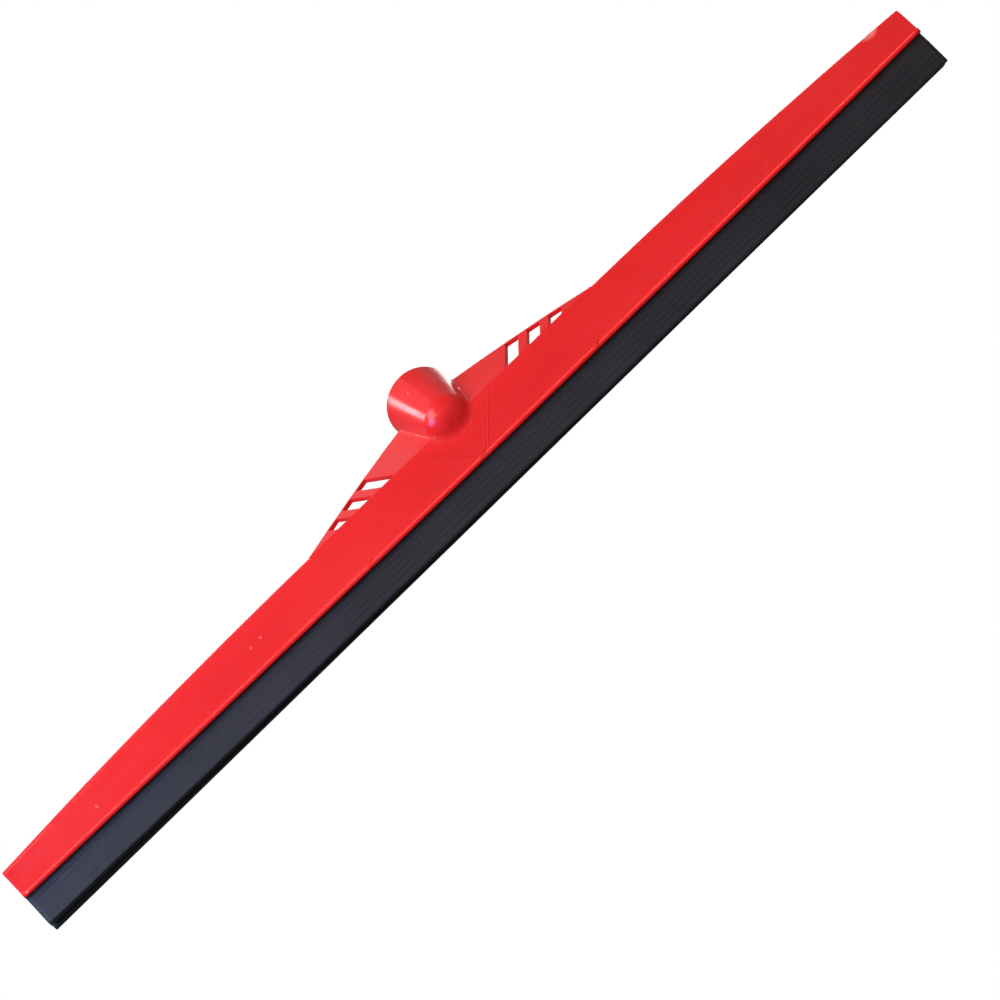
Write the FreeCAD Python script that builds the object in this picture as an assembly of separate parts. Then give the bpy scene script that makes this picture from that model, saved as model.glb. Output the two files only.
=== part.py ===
import FreeCAD, Part

import math
import os

from FreeCAD import Vector

# Floor squeegee head: one moulding with a blade channel, wings and a handle socket, two foam blades,
# a wedge strip and steel staples. Millimetres.
# It is drawn with +X along the bar, -Y out of the front face, +Z up, and z = 0 at the blades' working
# edge, with the blades' middle plane at y = 0. place() then moves every piece so that the origin is on
# the socket's axis, where its bore starts.

# Bar
BAR_LENGTH = 600.0
BAR_FOOT_MIDDLE = 16.4  # height of the bar's lower edge above the working edge, at the middle
BAR_FOOT_END = 18.4  # the same at the two ends, so the lower edge bows down
BAR_TOP_END = 35.1
CREASE_HEIGHT = 41.7  # where the front face ends and the wings start to lean back
WING_HALF_WIDTH = 94.5
TOP_ROUND = 2.3  # radius of the long top edges
SKIN = 2.4
FACE_FOOT_Z = 14.5
FACE_FOOT_Y = -8.4  # the front face at FACE_FOOT_Z
FACE_TOP_Y = -7.0  # and at the crease, so it leans back a little
FACE_RADIUS = 200.0  # the face is slightly crowned between them
FLANGE_DEPTH = 5.2
FLANGE_THICK = 2.0
FLANGE_START_X = 84.0
RIB_THICK = 1.6
RIB_PITCH = 37.5

# Blade channel and what it holds
BLADE_THICK = 5.0
WEDGE_THICK = 2.0
CHANNEL_TOP = 29.4
BLADE_TOP = 29.0
HINGE_HEIGHT = 13.4  # the line about which a blade's free lip bends
HINGE_GAP = 0.4
LIP_WIDTH = 598.0

# Handle socket and wings
SOCKET_LEAN = 50.0  # degrees that the socket and the wings lean back from the blades' plane
MOUTH_ALONG = 35.7  # from the crease to the socket's mouth, along the lean
MOUTH_RADIUS = 18.2
NECK_RADIUS = 12.6
NECK_ALONG = 2.5  # where the socket's cone ends and its rounded nose starts
NOSE_LENGTH = 7.0
NOSE_BLEND = 5.5  # radius where the nose flows into the front face
NOSE_REACH = 37.2  # how far out from the middle the nose's blend may reach
WING_BLEND = 2.5  # radius where the wings meet the socket
WING_JOIN_MARGIN = 5.0  # how far from the first window that blend stops
WING_JOIN_STOP = 1.5  # and how far below the wing's highest point
BORE_RADIUS = 12.2
BORE_DEPTH = 24.0
BORE_LEAD_IN = 0.8
WING_THICK = 2.5
WING_REACH = 31.2  # how far up the lean the wing meets the socket
WING_ROOT_X = 14.0
WING_EDGE_BULGE = 1.5  # how far the wing's sloping edge bulges above a straight line
WINDOW_INNER_X = (37.2, 51.8, 66.4)
WINDOW_WIDTH = 8.5
WINDOW_FOOT = 0.5
WINDOW_LEAN = 30.5  # degrees that the windows lean outwards
WINDOW_MARGIN = 1.3  # between a window and the wing's sloping edge
WINDOW_ROUND = 0.3
WING_EDGE_ROUND = 0.6
WING_RIB_X = (33.5, 49.8, 64.4, 79.0)
WING_RIB_REACH = 5.0  # the furthest that a wing's rib runs up the lean
SOCKET_RIB_X = (-9.0, 0.0, 9.0)
SOCKET_RIB_STOP = 9.0  # how far short of the mouth the socket's ribs end

# Front face trim
BEAD_HEIGHT = 2.6
BEAD_PROUD = 0.9
BEAD_MARK_X = (-77.5, -2.9, 74.0)
BEAD_MARK_WIDTH = 3.0
BEAD_MARK_SLANT = 2.4
BEAD_MARK_PROUD = 0.35
# The V on the front face is two raised lines a side: x at the crease, x at the foot, and width.
CHEVRON_LINES = ((24.0, 3.4, 0.9), (21.8, 1.6, 0.6))
CHEVRON_PROUD = 0.12
NICK_X = 281.7  # a small dent in the top edge near the +X end
NICK_WIDTH = 13.7
NICK_HEIGHT = 4.0
NICK_DEPTH = 1.2

# Staples
STAPLE_COUNT = 14
STAPLE_PITCH = 42.5
STAPLE_HEIGHT = 24.0
STAPLE_SPAN = 10.0
STAPLE_WIRE = 1.2
STAPLE_LEG = 12.4

HALF = BAR_LENGTH / 2
CHANNEL_HALF = BLADE_THICK + WEDGE_THICK / 2
REAR_Y = CHANNEL_HALF + SKIN
ROOF_TOP = CHANNEL_TOP + SKIN
BLADE_Y = (BLADE_THICK + WEDGE_THICK) / 2


def face_centre():
    """The (y, z) centre of the crowned front face's arc, which runs through its foot and its top."""
    rise = CREASE_HEIGHT - FACE_FOOT_Z
    run = FACE_TOP_Y - FACE_FOOT_Y
    chord = math.hypot(rise, run)
    reach = math.sqrt(FACE_RADIUS**2 - chord**2 / 4)
    return (
        (FACE_FOOT_Y + FACE_TOP_Y) / 2 + reach * rise / chord,
        (FACE_FOOT_Z + CREASE_HEIGHT) / 2 - reach * run / chord,
    )


def face_y(height, proud=0.0):
    """The front face's y at a height, or that of a surface proud of it."""
    y, z = face_centre()
    return y - math.sqrt((FACE_RADIUS + proud) ** 2 - (height - z) ** 2)


LEAN = math.radians(SOCKET_LEAN)
UP_THE_LEAN = Vector(0, math.sin(LEAN), math.cos(LEAN))
OFF_THE_WING = Vector(0, -math.cos(LEAN), math.sin(LEAN))
CREASE = Vector(0, face_y(CREASE_HEIGHT), CREASE_HEIGHT)
BORE_START = CREASE + UP_THE_LEAN * (MOUTH_ALONG - BORE_LEAD_IN)


def place(shape):
    return shape.translated(-BORE_START)


def block(low, high):
    return Part.makeBox(high[0] - low[0], high[1] - low[1], high[2] - low[2], Vector(*low))


def prism(points, along):
    """A solid from a closed flat outline, pushed along a vector."""
    wire = Part.makePolygon([*points, points[0]])
    return Part.Face(wire).extrude(along)


def face_skin(low, high, proud, deep):
    """A full-width skin that follows the front face from proud of it to deep behind it."""
    arcs = []
    for offset in (proud, -deep):
        heights = (low, (low + high) / 2, high)
        arcs.append(Part.Arc(*(Vector(-HALF, face_y(z, offset), z) for z in heights)))
    ends = [line(arcs[0].StartPoint, arcs[1].StartPoint), line(arcs[0].EndPoint, arcs[1].EndPoint)]
    wire = Part.Wire(Part.__sortEdges__([arcs[0].toShape(), arcs[1].toShape(), *ends]))
    return Part.Face(wire).extrude(Vector(BAR_LENGTH, 0, 0))


def across(section, x_low, x_high):
    """A (y, z) section pushed from one x to another."""
    return prism([Vector(x_low, y, z) for y, z in section], Vector(x_high - x_low, 0, 0))


def mirrored(shape):
    return shape.mirror(Vector(0, 0, 0), Vector(1, 0, 0))


def both_sides(shapes):
    return [*shapes, *(mirrored(s) for s in shapes)]


def on_lean(x, along, off=0.0):
    """A point of the wings' front plane: x, how far up the lean, and how far in front of the plane."""
    return CREASE + Vector(x, 0, 0) + UP_THE_LEAN * along + OFF_THE_WING * off


def foot_arc(raised, y):
    """The bar's bowed lower edge as an arc, raised by some height."""
    end = BAR_FOOT_END + raised
    middle = BAR_FOOT_MIDDLE + raised
    return Part.Arc(Vector(-HALF, y, end), Vector(0, y, middle), Vector(HALF, y, end))


def top_height(x):
    """The bar's top edge: level between the wings' tips, then an arc that falls away to the end."""
    run = max(abs(x) - WING_HALF_WIDTH, 0)
    drop = CREASE_HEIGHT - BAR_TOP_END
    span = HALF - WING_HALF_WIDTH
    radius = (span**2 + drop**2) / (2 * drop)
    return CREASE_HEIGHT - radius + math.sqrt(radius**2 - run**2)


def top_arc(lowered, y):
    """The bar's top edge from the wing to the +X end as an arc, lowered by some height."""
    middle = (WING_HALF_WIDTH + HALF) / 2
    return Part.Arc(*(Vector(x, y, top_height(x) - lowered) for x in (WING_HALF_WIDTH, middle, HALF)))


def line(a, b):
    return Part.LineSegment(a, b).toShape()


def front_outline(y, depth, top_lowered=0.0):
    """The bar seen from the front, between its top edge and its foot, as a solid depth deep from y."""
    right = top_arc(top_lowered, y)
    left = mirrored(right.toShape())
    wing_height = CREASE_HEIGHT - top_lowered
    end_height = BAR_TOP_END - top_lowered
    edges = [
        foot_arc(0, y).toShape(),
        line(Vector(HALF, y, BAR_FOOT_END), Vector(HALF, y, end_height)),
        right.toShape(),
        line(Vector(WING_HALF_WIDTH, y, wing_height), Vector(-WING_HALF_WIDTH, y, wing_height)),
        left,
        line(Vector(-HALF, y, end_height), Vector(-HALF, y, BAR_FOOT_END)),
    ]
    wire = Part.Wire(Part.__sortEdges__(edges))
    return Part.Face(wire).extrude(Vector(0, depth, 0))


def bar_shell():
    """Front skin, channel walls and channel roof, cut to the front outline."""
    skin = face_skin(FACE_FOOT_Z, CREASE_HEIGHT + 5, 0, SKIN)
    inside = face_y(FACE_FOOT_Z) + SKIN / 2
    roof = block((-HALF, inside, CHANNEL_TOP), (HALF, REAR_Y, ROOF_TOP))
    rear = block((-HALF, CHANNEL_HALF, FACE_FOOT_Z), (HALF, REAR_Y, ROOF_TOP))
    front = block((-HALF, inside, FACE_FOOT_Z), (HALF, -CHANNEL_HALF, ROOF_TOP))
    return skin.fuse([roof, rear, front]).common(front_outline(-20, 40))


def top_flange():
    """The stiffening flange behind the long top edges, from the wings' tips outwards."""
    front = face_y(BAR_TOP_END) + SKIN / 2
    band = front_outline(front, FLANGE_DEPTH).cut(front_outline(front, FLANGE_DEPTH, FLANGE_THICK))
    low = BAR_TOP_END - FLANGE_THICK - 1
    outer = block((FLANGE_START_X, -20, low), (HALF, 20, CREASE_HEIGHT + 1))
    return band.common(outer.fuse(mirrored(outer)))


def bar():
    """The shell and its top flange, with the top front edge rounded."""
    shape = bar_shell().fuse(top_flange()).removeSplitter()
    edges = []
    for edge in shape.Edges:
        points = [v.Point for v in edge.Vertexes]
        on_front = all(abs(p.y - face_y(p.z)) < 0.01 for p in points)
        on_top = all(abs(p.z - top_height(p.x)) < 0.01 for p in points)
        if on_front and on_top and edge.Length > 2 * WING_THICK:
            edges.append(edge)
    return shape.makeFillet(TOP_ROUND, edges)


def crease_fill():
    """Fills the rounded top edge between the wings, so that the wings rise from a sharper crease."""
    root = on_lean(0, 0, -WING_THICK)
    low = CREASE_HEIGHT - TOP_ROUND - 1
    section = [(face_y(low), low), (CREASE.y, CREASE.z), (root.y, root.z), (face_y(low) + 2, low)]
    return across(section, -WING_HALF_WIDTH, WING_HALF_WIDTH)


def edge_nick():
    """The dent in the top edge: a shallow groove that narrows downwards."""
    top = top_height(NICK_X)
    apex = on_face(NICK_X, top - NICK_HEIGHT, 0)
    deep = on_face(NICK_X, top, -NICK_DEPTH)
    sides = [on_face(NICK_X + side * NICK_WIDTH / 2, top, 0) for side in (-1, 1)]
    # The groove's far corners are pushed out past the bar's surface, so that it cuts cleanly.
    beyond = [deep, *(deep + (corner - deep) * 1.5 for corner in sides)]
    a, b, c = (apex + (corner - apex) * 1.4 for corner in beyond)
    triangles = [(a, b, c), (apex, a, b), (apex, b, c), (apex, c, a)]
    faces = [Part.Face(Part.makePolygon([*corners, corners[0]])) for corners in triangles]
    return Part.Solid(Part.Shell(faces))


def bar_ribs():
    """Upright ribs in the rear pocket, between the front skin and the channel's roof."""
    flange_back = face_y(BAR_TOP_END) + SKIN / 2 + FLANGE_DEPTH
    section = [
        (face_y(ROOF_TOP) + SKIN / 2, ROOF_TOP - 1),
        (REAR_Y - 0.6, ROOF_TOP - 1),
        (REAR_Y - 0.6, ROOF_TOP),
        (flange_back, CREASE_HEIGHT),
        (face_y(CREASE_HEIGHT) + SKIN / 2, CREASE_HEIGHT),
    ]
    count = int((HALF - RIB_THICK / 2) / RIB_PITCH)
    places = [i * RIB_PITCH for i in range(-count, count + 1)]
    outer = [x for x in places if abs(x) > WING_RIB_X[-1]]
    ends = [-HALF + RIB_THICK / 2, HALF - RIB_THICK / 2]
    ribs = [across(section, x - RIB_THICK / 2, x + RIB_THICK / 2) for x in sorted({*outer, *ends})]
    under_flange = front_outline(-20, 40, FLANGE_THICK / 2)
    return [rib.common(under_flange) for rib in ribs]


def wing_edge(x):
    """How far up the lean the wing's sloping edge is at an x: a parabola a little above a straight line."""
    part = (WING_HALF_WIDTH - x) / (WING_HALF_WIDTH - WING_ROOT_X)
    return WING_REACH * part + 4 * WING_EDGE_BULGE * part * (1 - part)


def wing():
    """The +X half of the leaning wing plate with its three windows."""
    places = (WING_HALF_WIDTH, (WING_HALF_WIDTH + WING_ROOT_X) / 2, WING_ROOT_X)
    tip, middle, root = (on_lean(x, wing_edge(x)) for x in places)
    wire = Part.Wire(
        [
            line(on_lean(0, 0), tip),
            Part.Arc(tip, middle, root).toShape(),
            line(root, on_lean(0, WING_REACH)),
            line(on_lean(0, WING_REACH), on_lean(0, 0)),
        ]
    )
    plate = Part.Face(wire).extrude(OFF_THE_WING * -WING_THICK)
    run = math.tan(math.radians(WINDOW_LEAN))
    for inner in WINDOW_INNER_X:
        # The window's sides lean outwards, and its top follows the wing's edge.
        corners = []
        for foot_x in (inner, inner + WINDOW_WIDTH):
            reach = WINDOW_FOOT
            while reach < wing_edge(foot_x + reach * run) - WINDOW_MARGIN:
                reach += 0.05
            corners.append((foot_x + WINDOW_FOOT * run, WINDOW_FOOT))
            corners.append((foot_x + reach * run, reach))
        outline = [corners[0], corners[1], corners[3], corners[2]]
        plate = plate.cut(prism([on_lean(x, q, 5) for x, q in outline], OFF_THE_WING * -15))
    # The long sloping edge is rounded front and back, then the windows' rims.
    long_edge = WING_HALF_WIDTH / 2
    for radius, low, high in (
        (WING_EDGE_ROUND, long_edge, WING_HALF_WIDTH),
        (WINDOW_ROUND, 0, long_edge),
    ):
        edges = [e for e in plate.Edges if low < e.Length < high and lies_in_plate(e)]
        plate = plate.makeFillet(radius, edges)
    return plate


def lies_in_plate(edge):
    """Whether an edge of the wing runs along its front or back, clear of its root and of the middle."""
    points = [v.Point - CREASE for v in edge.Vertexes]
    offs = [p.dot(OFF_THE_WING) for p in points]
    level = abs(offs[0] - offs[-1]) < 1e-6
    on_skin = abs(offs[0]) < 1e-6 or abs(offs[0] + WING_THICK) < 1e-6
    clear = max(p.dot(UP_THE_LEAN) for p in points) > 0.1 and min(p.x for p in points) > WING_ROOT_X - 1
    return level and on_skin and clear


def wing_rib(x):
    """A rib under the wing, from the channel's roof to the wing plate."""
    under = on_lean(x, 0, -WING_THICK / 2)
    reach = min(WING_RIB_REACH, wing_edge(x) - WINDOW_MARGIN)
    tip = on_lean(x, reach, -WING_THICK / 2)
    section = [
        (face_y(ROOF_TOP) + SKIN / 2, ROOF_TOP - 1),
        (REAR_Y - 0.6, ROOF_TOP - 1),
        (REAR_Y - 0.6, ROOF_TOP),
        (tip.y, tip.z),
        (under.y, under.z),
        (face_y(CREASE_HEIGHT) + SKIN / 2, CREASE_HEIGHT - 3),
    ]
    return across(section, x - RIB_THICK / 2, x + RIB_THICK / 2)


def socket_profile():
    """The socket's outside as a half section in the plane of its axis, for turning about that axis."""
    cone_start = on_lean(0, NECK_ALONG, NECK_RADIUS)
    rim_round = 1.0
    rim = on_lean(0, MOUTH_ALONG, MOUTH_RADIUS - rim_round)
    rim_side = on_lean(0, MOUTH_ALONG - rim_round, MOUTH_RADIUS)
    corner = math.sqrt(0.5) * rim_round
    rim_middle = on_lean(0, MOUTH_ALONG - rim_round + corner, MOUTH_RADIUS - rim_round + corner)
    nose_tip = on_lean(0, NECK_ALONG - NOSE_LENGTH)
    nose_middle = on_lean(
        0, NECK_ALONG - NOSE_LENGTH * math.sin(math.radians(50)), NECK_RADIUS * math.cos(math.radians(50))
    )
    edges = [
        line(on_lean(0, MOUTH_ALONG), rim),
        Part.Arc(rim, rim_middle, rim_side).toShape(),
        line(rim_side, cone_start),
        Part.Arc(cone_start, nose_middle, nose_tip).toShape(),
        line(nose_tip, on_lean(0, MOUTH_ALONG)),
    ]
    return Part.Face(Part.Wire(edges))


def socket_outside():
    """The socket as a turned solid, its seam at the back, away from the blends."""
    return socket_profile().rotated(CREASE, UP_THE_LEAN, 180).revolve(CREASE, UP_THE_LEAN, 360)


def joined_to_socket(slab, radius, lies_on_front):
    """A slab fused with the socket, with the line where they meet rounded."""
    body = slab.fuse(socket_outside())
    meeting = []
    for edge in body.Edges:
        middle = edge.valueAt((edge.FirstParameter + edge.LastParameter) / 2)
        points = [middle, *(v.Point for v in edge.Vertexes)]
        if edge.Length > 0.1 and all(lies_on_front(p) for p in points):
            meeting.append(edge)
    return body.makeFillet(radius, meeting)


def nose_region():
    """The space in which the socket's nose flows into the front face, below the crease."""
    low = BAR_FOOT_MIDDLE + BEAD_HEIGHT
    return block((-NOSE_REACH, -40, low), (NOSE_REACH, 0, CREASE_HEIGHT))


def nose_join():
    """The socket's nose with its blend into the front face."""
    low = BAR_FOOT_MIDDLE + BEAD_HEIGHT
    high = CREASE_HEIGHT + 1.4 * MOUTH_RADIUS  # above the whole line where the socket meets the face
    slab = face_skin(low - 5, high, 0, SKIN)
    slab = slab.common(block((-NOSE_REACH, -40, 0), (NOSE_REACH, 40, 2 * high)))

    def lies_on_face(point):
        inside = abs(point.x) < NOSE_REACH - 1 and low < point.z < high - 1
        return inside and abs(point.y - face_y(point.z)) < 0.01

    return joined_to_socket(slab, NOSE_BLEND, lies_on_face).common(nose_region())


def wing_region():
    """The space in which the socket's sides flow into the wings, above the crease."""
    reach = WINDOW_INNER_X[0] - WING_JOIN_MARGIN
    high = WING_REACH - WING_JOIN_STOP
    side = wing_edge(reach) - WING_JOIN_STOP
    half = [(reach, 0), (reach, side), (WING_ROOT_X, high)]
    outline = [*half, *((-x, along) for x, along in reversed(half))]
    return prism([on_lean(x, along, -1) for x, along in outline], OFF_THE_WING * 2 * MOUTH_RADIUS)


def wing_join():
    """The socket's sides with their blends into the wings."""
    reach = WINDOW_INNER_X[0] - WING_JOIN_MARGIN
    high = WING_REACH - WING_JOIN_STOP
    low = -NOSE_LENGTH - 5
    corners = [on_lean(x, along) for x, along in ((-reach, low), (reach, low), (reach, high), (-reach, high))]

    def lies_on_wing(point):
        away = point - CREASE
        inside = abs(point.x) < reach - 1 and low + 1 < away.dot(UP_THE_LEAN) < high + 0.01
        return inside and abs(away.dot(OFF_THE_WING)) < 0.01

    slab = prism(corners, OFF_THE_WING * -WING_THICK)
    return joined_to_socket(slab, WING_BLEND, lies_on_wing).common(wing_region())


def socket():
    """The socket's outside, with the parts that flow into the front face and the wings in their place."""
    rest = socket_outside().cut([nose_region(), wing_region()])
    return rest.fuse(nose_join()).fuse(wing_join())


def socket_bore():
    bore = Part.makeCylinder(BORE_RADIUS, BORE_DEPTH + 1, on_lean(0, MOUTH_ALONG - BORE_DEPTH), UP_THE_LEAN)
    lead_in = Part.makeCone(
        BORE_RADIUS,
        BORE_RADIUS + 2 * BORE_LEAD_IN,
        2 * BORE_LEAD_IN,
        on_lean(0, MOUTH_ALONG - BORE_LEAD_IN),
        UP_THE_LEAN,
    )
    return bore.fuse(lead_in)


def socket_rib(x):
    """A rib that carries the socket's underside on the channel's roof."""
    root = math.sqrt(max(NECK_RADIUS**2 - x**2, 0))
    reach = math.sqrt(MOUTH_RADIUS**2 - x**2)
    high = on_lean(x, MOUTH_ALONG - SOCKET_RIB_STOP, 1 - reach)
    low = on_lean(x, NECK_ALONG, 2 - root)
    section = [
        (face_y(ROOF_TOP) + SKIN / 2, ROOF_TOP - 1),
        (REAR_Y, ROOF_TOP - 1),
        (REAR_Y, ROOF_TOP),
        (high.y, high.z),
        (low.y, low.z + 4),
    ]
    return across(section, x - RIB_THICK / 2, x + RIB_THICK / 2)


def bead():
    """The rounded bead along the foot of the front face."""
    low = foot_arc(0, -20)
    high = foot_arc(BEAD_HEIGHT, -20)
    ends = [line(low.StartPoint, high.StartPoint), line(low.EndPoint, high.EndPoint)]
    wire = Part.Wire(Part.__sortEdges__([low.toShape(), high.toShape(), *ends]))
    band = Part.Face(wire).extrude(Vector(0, 20 + face_y(FACE_FOOT_Z) + 1.5, 0))
    front = face_y(FACE_FOOT_Z) - BEAD_PROUD
    strip = band.common(block((-HALF, front, 0), (HALF, 0, 60)))
    front_edges = [
        e for e in strip.Edges if e.Length > BAR_LENGTH * 0.9 and abs(e.BoundBox.YMin - front) < 0.01
    ]
    return strip.makeFillet(BEAD_PROUD * 0.85, front_edges)


def bead_mark(x):
    """A small slanted raised mark across the bead."""
    low = BAR_FOOT_MIDDLE + (BAR_FOOT_END - BAR_FOOT_MIDDLE) * (x / HALF) ** 2
    front = face_y(FACE_FOOT_Z) - BEAD_PROUD - BEAD_MARK_PROUD
    half = BEAD_MARK_WIDTH / 2
    foot = low + 0.5
    top = low + BEAD_HEIGHT + 0.7
    points = [
        Vector(x - half, front, foot),
        Vector(x + half, front, foot),
        Vector(x + half + BEAD_MARK_SLANT, front, top),
        Vector(x - half + BEAD_MARK_SLANT, front, top),
    ]
    return prism(points, Vector(0, BEAD_MARK_PROUD + BEAD_PROUD + 1, 0))


def on_face(x, height, proud):
    """A point of the front face, or proud of it."""
    return Vector(x, face_y(height) - proud, height)


def chevron_ridge(top_x, foot_x, width):
    """One straight raised line of the V on the front face, from the crease down towards the middle."""
    top = CREASE_HEIGHT - 0.4
    foot = BAR_FOOT_MIDDLE + BEAD_HEIGHT + 1.0
    corners = [(top_x, top), (top_x + width, top), (foot_x + width, foot), (foot_x, foot)]
    band = prism([Vector(x, -20, z) for x, z in corners], Vector(0, 20, 0))
    return band.common(face_skin(foot - 1, CREASE_HEIGHT, CHEVRON_PROUD, 1.0))


def staple_slots():
    """Where the staples' two legs pass through the rear wall and the blades."""
    slots = []
    for x in staple_places():
        slots += staple_legs(x)
    return slots


def staple_places():
    first = -STAPLE_PITCH * (STAPLE_COUNT - 1) / 2
    return [first + i * STAPLE_PITCH for i in range(STAPLE_COUNT)]


def staple_legs(x):
    half_wire = STAPLE_WIRE / 2
    legs = []
    for side in (-1, 1):
        middle = x + side * (STAPLE_SPAN - STAPLE_WIRE) / 2
        low = (middle - half_wire, REAR_Y - STAPLE_LEG, STAPLE_HEIGHT - half_wire)
        legs.append(block(low, (middle + half_wire, REAR_Y + 0.05, STAPLE_HEIGHT + half_wire)))
    return legs


def staple(x):
    """A staple: a crown that lies on the rear wall, and two legs with rounded shoulders."""
    half = STAPLE_SPAN / 2
    wire = STAPLE_WIRE / 2
    low = (x - half, REAR_Y, STAPLE_HEIGHT - wire)
    crown = block(low, (x + half, REAR_Y + STAPLE_WIRE, STAPLE_HEIGHT + wire))
    shoulders = [
        e
        for e in crown.Edges
        if abs(e.BoundBox.YMin - REAR_Y - STAPLE_WIRE) < 1e-6 and e.BoundBox.XLength < 1e-3
    ]
    crown = crown.makeFillet(STAPLE_WIRE * 0.7, shoulders)
    legs = [leg.common(block((x - half, -20, 0), (x + half, REAR_Y, 60))) for leg in staple_legs(x)]
    return crown.fuse(legs).removeSplitter()


def head_moulding():
    groups = [
        [crease_fill()],
        bar_ribs(),
        both_sides([wing(), *(wing_rib(x) for x in WING_RIB_X)]),
        [socket()],
        [socket_rib(x) for x in SOCKET_RIB_X],
        [bead()],
        [bead_mark(x) for x in BEAD_MARK_X],
        both_sides([chevron_ridge(*measures) for measures in CHEVRON_LINES]),
    ]
    head = bar()
    for group in groups:
        head = head.fuse(group)
    channel = block((-HALF - 1, -CHANNEL_HALF, 0), (HALF + 1, CHANNEL_HALF, CHANNEL_TOP))
    for hollow in (channel, socket_bore(), edge_nick(), staple_slots()):
        head = head.cut(hollow)
    return head


def blade_root(side):
    """The part of one blade that the channel grips; side is -1 for the front blade, 1 for the rear one."""
    middle = side * BLADE_Y
    bottom = HINGE_HEIGHT + BLADE_THICK / 2 + HINGE_GAP
    root = block((-HALF, middle - BLADE_THICK / 2, bottom), (HALF, middle + BLADE_THICK / 2, BLADE_TOP))
    return root.cut(staple_slots())


def blade_lip(side):
    """The free lip of one blade, with a round top edge on the line that it bends about."""
    middle = side * BLADE_Y
    half = LIP_WIDTH / 2
    low = (-half, middle - BLADE_THICK / 2, 0)
    lip = block(low, (half, middle + BLADE_THICK / 2, HINGE_HEIGHT))
    hinge_line = Vector(-half, middle, HINGE_HEIGHT)
    top = Part.makeCylinder(BLADE_THICK / 2, LIP_WIDTH, hinge_line, Vector(1, 0, 0))
    return lip.fuse(top).removeSplitter()


def blade_wedge():
    bottom = HINGE_HEIGHT + BLADE_THICK / 2 + HINGE_GAP + 1.5
    strip = block((-HALF, -WEDGE_THICK / 2, bottom), (HALF, WEDGE_THICK / 2, BLADE_TOP))
    return strip.cut(staple_slots())


def main():
    nodes = {
        "head_moulding": head_moulding(),
        "front_blade_root": blade_root(-1),
        "front_blade_lip": blade_lip(-1),
        "rear_blade_root": blade_root(1),
        "rear_blade_lip": blade_lip(1),
        "blade_wedge": blade_wedge(),
    }
    for number, x in enumerate(staple_places(), 1):
        nodes[f"staple_{number:02d}"] = staple(x)
    os.makedirs("parts", exist_ok=True)
    for name, shape in nodes.items():
        print(f"{name}: {len(shape.Solids)} solid, valid {shape.isValid()}, {shape.Volume / 1000:.2f} cm3")
        place(shape).exportStep(f"parts/{name}.step")
    print(f"bore starts at {BORE_START}")


main()
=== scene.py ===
"""Looks of the floor squeegee head: red moulding, two ribbed foam blades, wedge strip and staples.

Metres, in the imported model's frame: +X along the bar, -Y out of the front face, +Z up.
"""

import math

import bmesh
import bpy
from mathutils import Matrix, Vector, noise


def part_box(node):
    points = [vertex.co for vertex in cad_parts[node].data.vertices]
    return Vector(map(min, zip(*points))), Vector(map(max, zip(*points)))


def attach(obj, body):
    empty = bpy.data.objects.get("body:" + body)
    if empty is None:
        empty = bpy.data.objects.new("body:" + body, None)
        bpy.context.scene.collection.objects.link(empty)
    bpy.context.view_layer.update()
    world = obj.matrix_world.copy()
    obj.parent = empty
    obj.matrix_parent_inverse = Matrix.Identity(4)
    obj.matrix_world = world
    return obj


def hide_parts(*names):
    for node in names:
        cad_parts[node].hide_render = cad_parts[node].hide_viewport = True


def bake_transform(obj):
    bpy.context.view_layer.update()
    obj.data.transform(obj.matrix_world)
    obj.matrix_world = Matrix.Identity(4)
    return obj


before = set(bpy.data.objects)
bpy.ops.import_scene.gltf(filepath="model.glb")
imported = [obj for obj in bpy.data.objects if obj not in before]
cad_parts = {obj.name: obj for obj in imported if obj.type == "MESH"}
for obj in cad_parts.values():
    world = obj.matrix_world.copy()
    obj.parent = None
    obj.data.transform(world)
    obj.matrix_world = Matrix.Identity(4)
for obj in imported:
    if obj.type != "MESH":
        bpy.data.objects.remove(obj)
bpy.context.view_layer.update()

MM = 0.001

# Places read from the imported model
FRONT_LIP_LOW, FRONT_LIP_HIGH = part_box("front_blade_lip")
REAR_LIP_LOW, REAR_LIP_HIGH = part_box("rear_blade_lip")
ROOT_LOW, ROOT_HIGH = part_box("front_blade_root")
EDGE_Z = FRONT_LIP_LOW.z  # the working edge
MIDDLE_Y = (FRONT_LIP_LOW.y + REAR_LIP_HIGH.y) / 2  # the plane between the two blades
BAR_START = ROOT_LOW.x
BAR_LENGTH = ROOT_HIGH.x - ROOT_LOW.x

# Camera, with its angles in degrees: it stands in front, left and below, rolled so that the bar runs up
# to the right
CAMERA_AZIMUTH = -7.5
CAMERA_ELEVATION = -10.0
CAMERA_ROLL = -45.48
CAMERA_DISTANCE = 1.5
CAMERA_LENS = 112.86
CAMERA_TARGET = Vector((-9.5 * MM, MIDDLE_Y, EDGE_Z - 1.46 * MM))

# Pale marks on the red face: a painted highlight on the small facet at the top edge near the +X end, and
# three small pale spots
PALE_RED = (0.95, 0.28, 0.24)
FACE_FORWARD = 8.2 * MM  # the face, in front of the plane between the blades
MARK_DEPTH = 5 * MM  # how far before and behind the face a mark reaches
# x, height above the working edge, half width, half height, strength
PALE_SPOTS_AND_HIGHLIGHT = (
    # Painted highlight on the small facet at the top edge near the +X end
    (281.7 * MM, 36.6 * MM, 6.5 * MM, 4.0 * MM, 0.5),
    # Small pale spots
    (-247 * MM, 26.2 * MM, 0.8 * MM, 1.3 * MM, 0.3),
    (-144 * MM, 29.4 * MM, 1.0 * MM, 0.9 * MM, 0.3),
    (-137.3 * MM, 29.9 * MM, 0.9 * MM, 0.9 * MM, 0.3),
)

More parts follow.
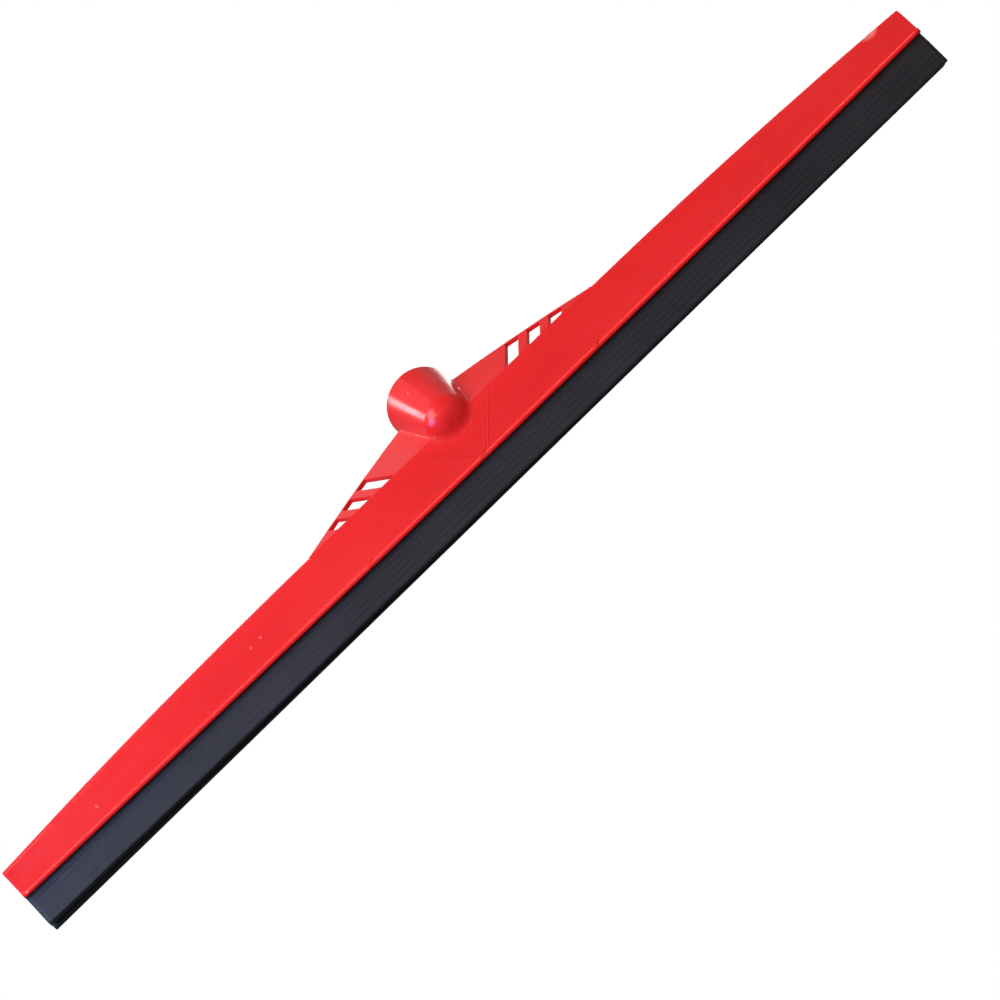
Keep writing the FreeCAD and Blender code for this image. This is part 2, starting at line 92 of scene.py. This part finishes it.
# Blades
BLADE_SEGMENTS = 240
RIB_PITCH = 2.8 * MM
RIB_DEPTH = 0.16 * MM
RIB_STEPS = 6  # points per rib
EDGE_ROUND = 0.35 * MM
EDGE_CORNER = 0.3 * EDGE_ROUND  # the middle point of a rounded edge, in from both sides
LEAN_LEFT = -14.0  # degrees that the two blades' free part leans at the -X end, forward
LEAN_RIGHT = 6.0  # and at the +X end, back; it hangs straight at the middle
LEAN_START = 2 * MM  # above the hinge line, where the lean sets in
LEAN_SPAN = 6 * MM  # the height over which it grows to its full angle
BLADE_WAVE = 0.22 * MM  # how far the working edge wanders from straight

# Bead along the foot of the front face, half round and just over the plain one of the CAD model
FOOT_MIDDLE = 16.4 * MM  # height of the bar's lower edge above the working edge, at the middle
FOOT_END = 18.4 * MM  # and at the two ends
BEAD_SEGMENTS = 160
BEAD_STEPS = 14
BEAD_FORWARD = 8.1 * MM  # its centre, in front of the plane between the blades
BEAD_UP = 1.3 * MM  # and above the bar's lower edge
BEAD_RADIUS = 1.45 * MM
BEAD_ROOT = 0.6 * MM  # how far it reaches back into the face

# Surroundings
FLOOR_SIZE = 8
FLOOR_DROP = 2 * MM  # the floor lies clear of the leaning blades
FLOOR_GLOW = 0.35  # how strongly it shines by itself, for the camera only
EVEN_LIGHT = 0.26  # strength of the light that comes from all sides


def add_light(name, place, target, size, watts, colour):
    """A rectangular area light at place, aimed at target, of so many watts."""
    data = bpy.data.lights.new(name, "AREA")
    data.shape = "RECTANGLE"
    data.size, data.size_y = size
    data.energy = watts
    data.color = colour
    light = bpy.data.objects.new(name, data)
    bpy.context.scene.collection.objects.link(light)
    light.location = place
    light.rotation_euler = (Vector(target) - Vector(place)).to_track_quat("-Z", "Y").to_euler()
    return light


def add_camera():
    azimuth = math.radians(CAMERA_AZIMUTH)
    elevation = math.radians(CAMERA_ELEVATION)
    roll = math.radians(CAMERA_ROLL)
    back = Vector(
        (
            math.sin(azimuth) * math.cos(elevation),
            -math.cos(azimuth) * math.cos(elevation),
            math.sin(elevation),
        )
    )
    level = Vector((math.cos(azimuth), math.sin(azimuth), 0))
    upright = back.cross(level)
    right = level * math.cos(roll) + upright * math.sin(roll)
    up = upright * math.cos(roll) - level * math.sin(roll)
    data = bpy.data.cameras.new("camera")
    data.lens = CAMERA_LENS
    data.clip_start = 0.01
    camera = bpy.data.objects.new("camera", data)
    bpy.context.scene.collection.objects.link(camera)
    place = CAMERA_TARGET + back * CAMERA_DISTANCE
    turned = Matrix((right, up, back)).transposed().to_4x4()
    camera.matrix_world = Matrix.Translation(place) @ turned
    bpy.context.scene.camera = camera


# Node building

def new_material(name):
    """A material with a Principled shader; gives the material, its node tree and the shader."""
    material = bpy.data.materials.new(name)
    material.use_nodes = True
    tree = material.node_tree
    shader = next(n for n in tree.nodes if n.type == "BSDF_PRINCIPLED")
    return material, tree, shader


def add_node(tree, kind, **settings):
    """A node with its sockets set by name, or its properties where no such socket exists."""
    node = tree.nodes.new(kind)
    for key, value in settings.items():
        if key in node.inputs:
            node.inputs[key].default_value = value
        else:
            setattr(node, key, value)
    return node


def object_coordinates(tree, scale):
    """Object coordinates scaled by a number, or by three for a stretched pattern."""
    coordinates = add_node(tree, "ShaderNodeTexCoord")
    mapping = add_node(tree, "ShaderNodeMapping")
    mapping.inputs["Scale"].default_value = scale if isinstance(scale, tuple) else (scale,) * 3
    tree.links.new(coordinates.outputs["Object"], mapping.inputs["Vector"])
    return mapping.outputs["Vector"]


def noise_at(tree, scale, detail=2.0, roughness=0.5, stretch=(1, 1, 1)):
    """Noise with a given number of waves per metre; gives its factor."""
    vector = object_coordinates(tree, tuple(scale * s for s in stretch))
    node = add_node(tree, "ShaderNodeTexNoise", Scale=1.0, Detail=detail, Roughness=roughness)
    tree.links.new(vector, node.inputs["Vector"])
    return node.outputs["Fac"]


def remap(tree, value, low, high, to_low, to_high):
    node = add_node(tree, "ShaderNodeMapRange")
    for name, number in (("From Min", low), ("From Max", high), ("To Min", to_low), ("To Max", to_high)):
        node.inputs[name].default_value = number
    tree.links.new(value, node.inputs["Value"])
    return node.outputs["Result"]


def ramp(tree, value, stops):
    """A colour ramp of (place, colour) stops."""
    node = add_node(tree, "ShaderNodeValToRGB")
    elements = node.color_ramp.elements
    while len(elements) < len(stops):
        elements.new(0.5)
    for element, (place, colour) in zip(elements, stops):
        element.position = place
        element.color = (*colour, 1)
    tree.links.new(value, node.inputs["Fac"])
    return node.outputs["Color"]


def mix(tree, factor, first, second):
    """Mixes two colours; each may be a socket or a tuple."""
    node = add_node(tree, "ShaderNodeMix", data_type="RGBA")
    # A mix node's colours are its inputs 6 and 7, and its output 2
    sockets = (node.inputs["Factor"], node.inputs[6], node.inputs[7])
    for socket, value in zip(sockets, (factor, first, second)):
        if isinstance(value, bpy.types.NodeSocket):
            tree.links.new(value, socket)
        elif isinstance(value, tuple):
            socket.default_value = (*value, 1)
        else:
            socket.default_value = value
    return node.outputs[2]


def bump(tree, height, distance, strength=1.0, normal=None):
    node = add_node(tree, "ShaderNodeBump", Strength=strength, Distance=distance)
    tree.links.new(height, node.inputs["Height"])
    if normal is not None:
        tree.links.new(normal, node.inputs["Normal"])
    return node.outputs["Normal"]


def pale_spot_or_highlight(tree, base, x, height, half_width, half_height, strength):
    """Lays one soft pale mark over the base colour, at a place on the front face: a small pale spot, or the
    painted highlight on the facet near the +X end.
    """
    coordinates = add_node(tree, "ShaderNodeTexCoord")
    centre = (x, MIDDLE_Y - FACE_FORWARD, EDGE_Z + height)
    scale = (1 / half_width, 1 / MARK_DEPTH, 1 / half_height)
    mapping = add_node(tree, "ShaderNodeMapping", Scale=scale)
    mapping.inputs["Location"].default_value = [-c * k for c, k in zip(centre, scale)]
    tree.links.new(coordinates.outputs["Object"], mapping.inputs["Vector"])
    spot = add_node(tree, "ShaderNodeTexGradient", gradient_type="SPHERICAL")
    tree.links.new(mapping.outputs["Vector"], spot.inputs["Vector"])
    return mix(tree, remap(tree, spot.outputs["Fac"], 0.0, 0.4, 0.0, strength), base, PALE_RED)


def red_plastic():
    """Glossy moulded polypropylene with faint flow marks, pale spots, a painted highlight near the +X end, a
    fine orange peel and softened edges.
    """
    material, tree, shader = new_material("red_plastic")
    flow = noise_at(tree, 14, detail=3.0, stretch=(0.35, 1, 1))
    cloud = noise_at(tree, 60, detail=2.0)
    base = ramp(
        tree,
        flow,
        [(0.3, (0.68, 0.010, 0.010)), (0.55, (0.76, 0.016, 0.015)), (0.75, (0.80, 0.024, 0.022))],
    )
    base = mix(tree, remap(tree, cloud, 0.4, 0.75, 0.0, 0.18), base, (0.60, 0.008, 0.008))
    specks = noise_at(tree, 420, detail=1.0)
    base = mix(tree, remap(tree, specks, 0.80, 0.86, 0.0, 0.5), base, (0.95, 0.30, 0.22))
    # Pale spots, and a painted highlight on the facet at the top edge near the +X end
    for mark in PALE_SPOTS_AND_HIGHLIGHT:
        base = pale_spot_or_highlight(tree, base, *mark)
    tree.links.new(base, shader.inputs["Base Color"])
    scuffs = noise_at(tree, 90, detail=6.0, roughness=0.7, stretch=(0.25, 1, 1))
    tree.links.new(remap(tree, scuffs, 0.35, 0.7, 0.17, 0.27), shader.inputs["Roughness"])
    shader.inputs["IOR"].default_value = 1.49
    shader.inputs["Specular IOR Level"].default_value = 0.4
    edges = add_node(tree, "ShaderNodeBevel", samples=6)
    edges.inputs["Radius"].default_value = 0.5 * MM
    peel = noise_at(tree, 700, detail=2.0)
    wobble = noise_at(tree, 55, detail=1.0)
    normal = bump(tree, peel, 0.02 * MM, 0.5, edges.outputs["Normal"])
    normal = bump(tree, wobble, 0.25 * MM, 0.8, normal)
    dimples = noise_at(tree, 210, detail=1.0)
    normal = bump(tree, dimples, 0.10 * MM, 0.6, normal)
    tree.links.new(normal, shader.inputs["Normal"])
    return material


def blade_foam():
    """Matt black closed-cell foam rubber with fine pores and a faint bluish bloom."""
    material, tree, shader = new_material("blade_foam")
    cloud = noise_at(tree, 35, detail=4.0, roughness=0.6, stretch=(0.5, 1, 1))
    grain = noise_at(tree, 1500, detail=3.0, roughness=0.6)
    base = ramp(tree, cloud, [(0.3, (0.012, 0.009, 0.010)), (0.7, (0.021, 0.017, 0.019))])
    base = mix(tree, remap(tree, grain, 0.55, 0.75, 0.0, 0.55), base, (0.045, 0.044, 0.052))
    tree.links.new(base, shader.inputs["Base Color"])
    tree.links.new(remap(tree, grain, 0.3, 0.7, 0.5, 0.75), shader.inputs["Roughness"])
    shader.inputs["Specular IOR Level"].default_value = 0.35
    shader.inputs["Sheen Weight"].default_value = 0.06
    shader.inputs["Sheen Roughness"].default_value = 0.5
    pores = add_node(tree, "ShaderNodeTexVoronoi", Scale=1.0)
    tree.links.new(object_coordinates(tree, 2400), pores.inputs["Vector"])
    normal = bump(tree, pores.outputs["Distance"], 0.06 * MM, 0.7)
    normal = bump(tree, grain, 0.05 * MM, 0.6, normal)
    tree.links.new(normal, shader.inputs["Normal"])
    return material


def wedge_plastic():
    """Matt dark strip plastic with extrusion lines along it."""
    material, tree, shader = new_material("wedge_plastic")
    lines = noise_at(tree, 900, detail=2.0, stretch=(0.01, 1, 1))
    base = ramp(tree, lines, [(0.3, (0.030, 0.030, 0.032)), (0.7, (0.055, 0.055, 0.058))])
    tree.links.new(base, shader.inputs["Base Color"])
    tree.links.new(remap(tree, lines, 0.3, 0.7, 0.4, 0.6), shader.inputs["Roughness"])
    tree.links.new(bump(tree, lines, 0.05 * MM, 0.6), shader.inputs["Normal"])
    return material


def staple_steel():
    """Bright drawn wire with faint drawing lines."""
    material, tree, shader = new_material("staple_steel")
    lines = noise_at(tree, 2500, detail=3.0, stretch=(0.05, 1, 1))
    base = ramp(tree, lines, [(0.3, (0.50, 0.50, 0.49)), (0.7, (0.66, 0.66, 0.64))])
    tree.links.new(base, shader.inputs["Base Color"])
    tree.links.new(remap(tree, lines, 0.3, 0.7, 0.22, 0.38), shader.inputs["Roughness"])
    shader.inputs["Metallic"].default_value = 1.0
    tree.links.new(bump(tree, lines, 0.02 * MM, 0.5), shader.inputs["Normal"])
    return material


def floor_white():
    """Pale floor that throws back little light. It shows from above only: a camera below looks past it."""
    material, tree, shader = new_material("floor_white")
    path = add_node(tree, "ShaderNodeLightPath")
    seen = mix(tree, path.outputs["Is Camera Ray"], (0.14, 0.14, 0.14), (0.80, 0.80, 0.79))
    tree.links.new(seen, shader.inputs["Base Color"])
    shader.inputs["Emission Color"].default_value = (1, 1, 1, 1)
    glow = remap(tree, path.outputs["Is Camera Ray"], 0.0, 1.0, 0.0, FLOOR_GLOW)
    tree.links.new(glow, shader.inputs["Emission Strength"])
    shader.inputs["Roughness"].default_value = 0.7
    output = next(n for n in tree.nodes if n.type == "OUTPUT_MATERIAL")
    clear = add_node(tree, "ShaderNodeBsdfTransparent")
    side = add_node(tree, "ShaderNodeNewGeometry")
    switch = add_node(tree, "ShaderNodeMixShader")
    tree.links.new(side.outputs["Backfacing"], switch.inputs["Fac"])
    tree.links.new(shader.outputs["BSDF"], switch.inputs[1])
    tree.links.new(clear.outputs["BSDF"], switch.inputs[2])
    tree.links.new(switch.outputs["Shader"], output.inputs["Surface"])
    return material


# Pieces

def swept(name, rings):
    """A closed smooth-sided mesh through rings of points, with flat ends."""
    mesh = bmesh.new()
    loops = [[mesh.verts.new(point) for point in ring] for ring in rings]
    count = len(loops[0])
    for a, b in zip(loops, loops[1:]):
        for k in range(count):
            n = (k + 1) % count
            mesh.faces.new((a[k], a[n], b[n], b[k]))
    mesh.faces.new(loops[0][::-1])
    mesh.faces.new(loops[-1])
    bmesh.ops.recalc_face_normals(mesh, faces=mesh.faces)
    data = bpy.data.meshes.new(name)
    mesh.to_mesh(data)
    mesh.free()
    for polygon in data.polygons:
        polygon.use_smooth = len(polygon.vertices) == 4
    piece = bpy.data.objects.new(name, data)
    bpy.context.scene.collection.objects.link(piece)
    return piece


def blade_outline(bottom, top, thick):
    """(across, height) points round one blade's section, with fine ribs up both faces."""
    half = thick / 2
    ribs = int((top - bottom - 2 * EDGE_ROUND) / RIB_PITCH)
    steps = ribs * RIB_STEPS
    start = bottom + EDGE_ROUND
    pitch = (top - EDGE_ROUND - start) / ribs
    face = []
    for i in range(steps + 1):
        phase = i / RIB_STEPS
        dip = RIB_DEPTH * (0.5 + 0.5 * math.cos(2 * math.pi * phase)) ** 2
        face.append((half - dip, start + phase * pitch))
    face = [(half - EDGE_ROUND, bottom), (half - EDGE_CORNER, bottom + EDGE_CORNER), *face[1:-1]]
    face += [(half - EDGE_CORNER, top - EDGE_CORNER), (half - EDGE_ROUND, top)]
    return [*face, *((-y, z) for y, z in reversed(face))]


def blade_lean(along):
    """How far the free edge leans, in radians, at a place along the bar from -1 to 1."""
    return math.radians((LEAN_RIGHT - LEAN_LEFT) / 2 * along + (LEAN_RIGHT + LEAN_LEFT) / 2 * along**2)


def leaned(y, z, angle, hinge_z):
    """A point of a blade's section after the pair leans as one block about the middle of its hinge lines."""
    part = min(1.0, max(0.0, (hinge_z + LEAN_START - z) / LEAN_SPAN))
    turn = angle * part * part * (3 - 2 * part)
    across, down = y - MIDDLE_Y, z - hinge_z
    return (
        MIDDLE_Y + across * math.cos(turn) - down * math.sin(turn),
        hinge_z + down * math.cos(turn) + across * math.sin(turn),
    )


def foam_blade(name, low, high, material):
    """One foam blade from its working edge to its top in the channel, as a single bending piece.

    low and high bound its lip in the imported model. The lip's round top is centred on the hinge line.
    """
    middle = (low.y + high.y) / 2
    thick = high.y - low.y
    hinge_z = high.z - thick / 2
    outline = blade_outline(EDGE_Z, ROOT_HIGH.z, thick)
    rings = []
    for i in range(BLADE_SEGMENTS + 1):
        along = i / BLADE_SEGMENTS
        x = BAR_START + BAR_LENGTH * along
        turn = blade_lean(2 * along - 1)
        ring = []
        for y, z in outline:
            free = max(0.0, (hinge_z - z) / (hinge_z - EDGE_Z))
            wave = BLADE_WAVE * noise.noise(Vector((x * 14, z * 30, middle)))
            ring.append((x, *leaned(middle + y + wave * free, z, turn, hinge_z)))
        rings.append(ring)
    piece = swept(name, rings)
    piece.data.materials.append(material)
    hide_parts(f"{name}_root", f"{name}_lip")
    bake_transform(piece)


def foot_height(x):
    """Height of the bar's lower edge, which is bowed to an arc, above the working edge."""
    half = BAR_LENGTH / 2
    rise = FOOT_END - FOOT_MIDDLE
    radius = (half**2 + rise**2) / (2 * rise)
    return FOOT_MIDDLE + radius - math.sqrt(radius**2 - x**2)


def front_bead(material):
    """The rounded bead along the foot of the front face."""
    centre_y = MIDDLE_Y - BEAD_FORWARD
    rings = []
    for i in range(BEAD_SEGMENTS + 1):
        x = BAR_START + BAR_LENGTH * i / BEAD_SEGMENTS
        centre_z = EDGE_Z + foot_height(x) + BEAD_UP
        ring = [(x, centre_y + BEAD_ROOT, centre_z + BEAD_RADIUS)]
        for k in range(BEAD_STEPS + 1):
            turn = math.pi * k / BEAD_STEPS
            y = centre_y - BEAD_RADIUS * math.sin(turn)
            ring.append((x, y, centre_z + BEAD_RADIUS * math.cos(turn)))
        ring.append((x, centre_y + BEAD_ROOT, centre_z - BEAD_RADIUS))
        rings.append(ring)
    piece = swept("front_bead", rings)
    piece.data.materials.append(material)
    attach(piece, "head")
    return piece


def finish_cad_nodes(materials):
    """Gives each remaining CAD node its material."""
    for name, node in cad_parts.items():
        kind = "red_plastic"
        if name.startswith("staple"):
            kind = "staple_steel"
        elif name == "blade_wedge":
            kind = "wedge_plastic"
        elif "blade" in name:
            kind = "blade_foam"
        node.data.materials.clear()
        node.data.materials.append(materials[kind])


def add_floor(material):
    bpy.ops.mesh.primitive_plane_add(size=FLOOR_SIZE, location=(0, MIDDLE_Y, EDGE_Z - FLOOR_DROP))
    floor = bpy.context.object
    floor.name = "floor"
    floor.data.materials.append(material)


def add_world():
    """White where the camera looks, and a dimmer even light for the object."""
    world = bpy.data.worlds.new("studio")
    bpy.context.scene.world = world
    world.use_nodes = True
    tree = world.node_tree
    backdrop = next(n for n in tree.nodes if n.type == "BACKGROUND")
    backdrop.inputs["Color"].default_value = (1, 1, 1, 1)
    backdrop.inputs["Strength"].default_value = 1.0
    dim = add_node(tree, "ShaderNodeBackground", Strength=EVEN_LIGHT)
    dim.inputs["Color"].default_value = (0.93, 0.95, 1.0, 1)
    path = add_node(tree, "ShaderNodeLightPath")
    switch = add_node(tree, "ShaderNodeMixShader")
    output = next(n for n in tree.nodes if n.type == "OUTPUT_WORLD")
    tree.links.new(path.outputs["Is Camera Ray"], switch.inputs["Fac"])
    tree.links.new(dim.outputs["Background"], switch.inputs[1])
    tree.links.new(backdrop.outputs["Background"], switch.inputs[2])
    tree.links.new(switch.outputs["Shader"], output.inputs["Surface"])


def light_only(light, pieces):
    """Lets a light fall on some pieces only."""
    receivers = bpy.data.collections.new(f"lit_by_{light.name}")
    for piece in pieces:
        receivers.objects.link(piece)
    light.light_linking.receiver_collection = receivers


def add_lights(bead):
    """A key from the left, a softbox overhead that ends just right of the socket, and weaker helpers."""
    middle = (0, MIDDLE_Y, EDGE_Z + 30 * MM)
    left_end = (BAR_START, MIDDLE_Y, EDGE_Z)
    add_light("key_left", (-0.9, -1.1, 0.75), middle, (1.1, 1.1), 19.5, (1.0, 0.98, 0.97))
    add_light("overhead_left", (-1.0, 0.35, 1.15), (-1.0, 0.35, 0), (2.3, 1.2), 4, (0.95, 0.96, 1.0))
    add_light("rear_fill", (0.5, 1.5, 0.9), middle, (1.2, 1.2), 12, (1.0, 0.99, 0.97))
    fill = add_light("front_fill", (0.1, -1.4, 0.1), middle, (1.4, 0.3), 9, (1.0, 0.97, 0.94))
    fill.visible_glossy = False
    # The long highlight on the socket
    streak = add_light("socket_streak", (-0.91, 0.32, 1.1), middle, (0.16, 0.4), 3.2, (0.96, 0.93, 1.0))
    streak.visible_diffuse = False
    # Blue daylight on the -X end, kept off the floor, which is added later
    sky = add_light("sky_left", (-0.55, -0.38, 0.05), left_end, (0.3, 0.3), 3.5, (0.12, 0.38, 1.0))
    light_only(sky, [o for o in bpy.context.scene.objects if o.type == "MESH"])
    # The bright line on the bead
    glint = add_light("bead_glint", (0.2, -0.75, 1.25), middle, (2.0, 0.3), 14, (1.0, 0.93, 0.95))
    light_only(glint, [bead])
    for helper in (streak, sky, glint):
        helper.visible_camera = False


add_camera()
add_world()
finishes = {make.__name__: make() for make in (red_plastic, blade_foam, wedge_plastic, staple_steel)}
finish_cad_nodes(finishes)
foam_blade("front_blade", FRONT_LIP_LOW, FRONT_LIP_HIGH, finishes["blade_foam"])
foam_blade("rear_blade", REAR_LIP_LOW, REAR_LIP_HIGH, finishes["blade_foam"])
add_lights(front_bead(finishes["red_plastic"]))
add_floor(floor_white())
bpy.context.scene.view_settings.view_transform = "Standard"
